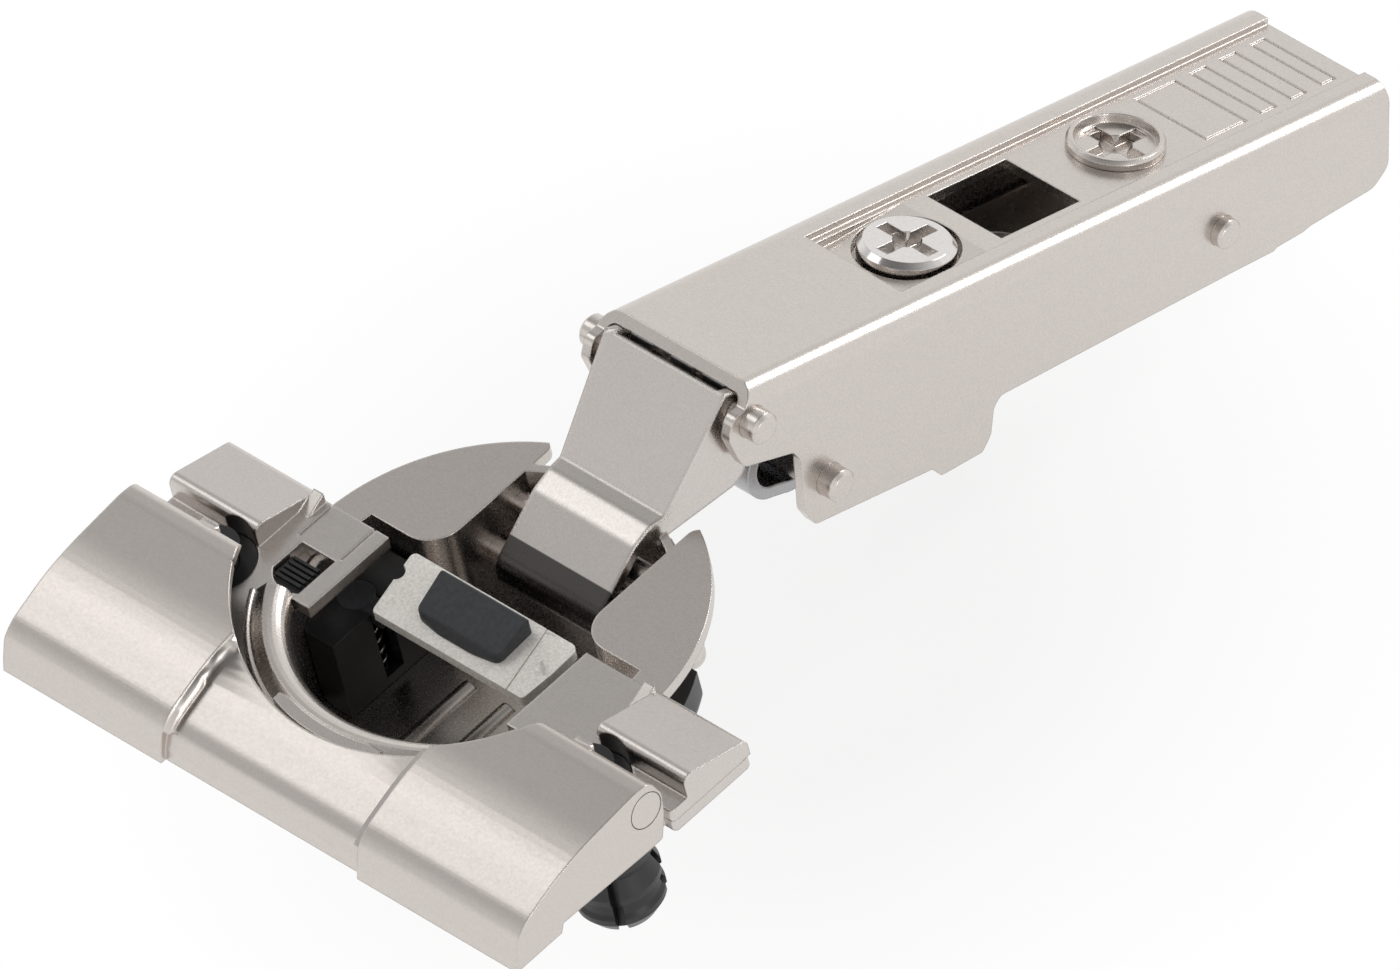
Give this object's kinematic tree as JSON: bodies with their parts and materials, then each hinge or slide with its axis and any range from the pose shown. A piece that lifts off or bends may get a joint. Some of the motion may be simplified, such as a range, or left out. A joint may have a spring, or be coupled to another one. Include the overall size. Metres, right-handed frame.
{
  "type": "concealed cup hinge",
  "caption": "Concealed cabinet door hinge with a cup for a 35 mm drilling, tool-free press-in plate, soft-close damper and a long clip-on arm, shown open.",
  "frame": {"origin": "axis of the cup at the door's face, the plane under the cup's flange and base sheet", "axes": "+Z out of the cup's mouth, away from the door; +Y to the door's near edge, the side the arm leaves by; +X along the hinge pins"},
  "size_m": [0.062, 0.1279, 0.0355],
  "materials": {
    "nickel_steel": "matt nickel-plated",
    "bright_steel": "bright plated",
    "blasted_steel": "fine blasted, bright",
    "black_plastic": "matt moulded",
    "grey_plastic": "fine grained"
  },
  "bodies": {
    "cup": {"hinge_cup": "nickel_steel", "dowel_sheet": "nickel_steel", "boss_plate": "nickel_steel", "flap_pins": "nickel_steel", "dowels": "black_plastic", "damper_housing": "black_plastic", "damper_spring": "bright_steel", "cup_pin_outer": "nickel_steel", "cup_pin_inner": "nickel_steel", "housing_rivets": "nickel_steel"},
    "outer_link": {"outer_link": "nickel_steel"},
    "inner_link": {"inner_link": "nickel_steel"},
    "arm": {"hinge_arm": "nickel_steel", "arm_pin_front": "nickel_steel", "arm_pin_lower": "nickel_steel", "closing_spring": "bright_steel", "guide_pin": "nickel_steel"},
    "carrier": {"carrier": "nickel_steel"},
    "side_screw": {"side_screw": "bright_steel"},
    "clip_base": {"clip_base": "nickel_steel", "clip_pin": "nickel_steel"},
    "depth_screw": {"depth_screw": "nickel_steel"},
    "clip_lever": {"clip_lever": "nickel_steel", "clip_spring": "bright_steel"},
    "actuator": {"actuator_plate": "blasted_steel", "actuator_pad": "grey_plastic", "damper_piston": "grey_plastic"},
    "flap": {"insert_flap": "nickel_steel"},
    "core_left": {"expander_left": "black_plastic"},
    "core_right": {"expander_right": "black_plastic"},
    "switch": {"switch_slider": "black_plastic"}
  },
  "joints": [
    {"name": "fold", "type": "hinge", "parent": "cup", "child": "outer_link", "pos_m": [0, 0.0092, -0.00425], "axis": [1, 0, 0], "range_deg": [0, 123.46]},
    {"name": "arm_fold", "type": "hinge", "parent": "outer_link", "child": "arm", "pos_m": [0, 0.02584, 0.00718], "axis": [1, 0, 0], "range_deg": [-13.6, 0]},
    {"name": "inner_fold", "type": "hinge", "parent": "cup", "child": "inner_link", "pos_m": [0, 0.0128, -0.0016], "axis": [1, 0, 0], "range_deg": [0, 141.2]},
    {"name": "actuator_slide", "type": "slide", "parent": "cup", "child": "actuator", "axis": [0, 0, -1], "range_m": [0, 0.00622], "deforming": ["damper_spring"]},
    {"name": "flap_turn", "type": "hinge", "parent": "cup", "child": "flap", "pos_m": [0, -0.0107, 0.0048], "axis": [-1, 0, 0], "range_deg": [0, 70]},
    {"name": "core_left_slide", "type": "slide", "parent": "cup", "child": "core_left", "axis": [0, 0, -1], "range_m": [0, 0.00141]},
    {"name": "core_right_slide", "type": "slide", "parent": "cup", "child": "core_right", "axis": [0, 0, -1], "range_m": [0, 0.00141]},
    {"name": "soft_close_switch", "type": "slide", "parent": "cup", "child": "switch", "axis": [0, 1, 0], "range_m": [0, 0.0012]},
    {"name": "side_screw_turn", "type": "hinge", "parent": "arm", "child": "side_screw", "pos_m": [0, 0.05168, -0.00223], "axis": [0, 0.342, 0.9397], "range_deg": [-720, 720]},
    {"name": "carrier_tilt", "type": "hinge", "parent": "arm", "child": "carrier", "pos_m": [0, 0.0788, -0.01571], "axis": [1, 0, 0], "range_deg": [-3.79, 3.79]},
    {"name": "depth_screw_turn", "type": "hinge", "parent": "arm", "child": "depth_screw", "pos_m": [0, 0.07564, -0.01095], "axis": [0, 0.342, 0.9397], "range_deg": [-132, 198]},
    {"name": "clip_slide", "type": "slide", "parent": "carrier", "child": "clip_base", "axis": [0, 0.9397, -0.342], "range_m": [-0.00199, 0.00299]},
    {"name": "clip_lever_turn", "type": "hinge", "parent": "clip_base", "child": "clip_lever", "pos_m": [0, 0.08594, -0.02066], "axis": [1, 0, 0], "range_deg": [0, 12], "stiffness_Nm_per_rad": 0.02, "springref_deg": -11.46}
  ],
  "couplings": [
    {"joint": "arm_fold", "follows": "fold", "ratio": -0.10902},
    {"joint": "inner_fold", "follows": "fold", "ratio": 1.1423},
    {"joint": "actuator_slide", "follows": "fold", "m_per_rad": 0.002877},
    {"joint": "core_left_slide", "follows": "flap_turn", "m_per_rad": 0.001146},
    {"joint": "core_right_slide", "follows": "flap_turn", "m_per_rad": 0.001146},
    {"joint": "side_screw_turn", "follows": "carrier_tilt", "ratio": 189.47},
    {"joint": "depth_screw_turn", "follows": "clip_slide", "rad_per_m": 1152}
  ]
}
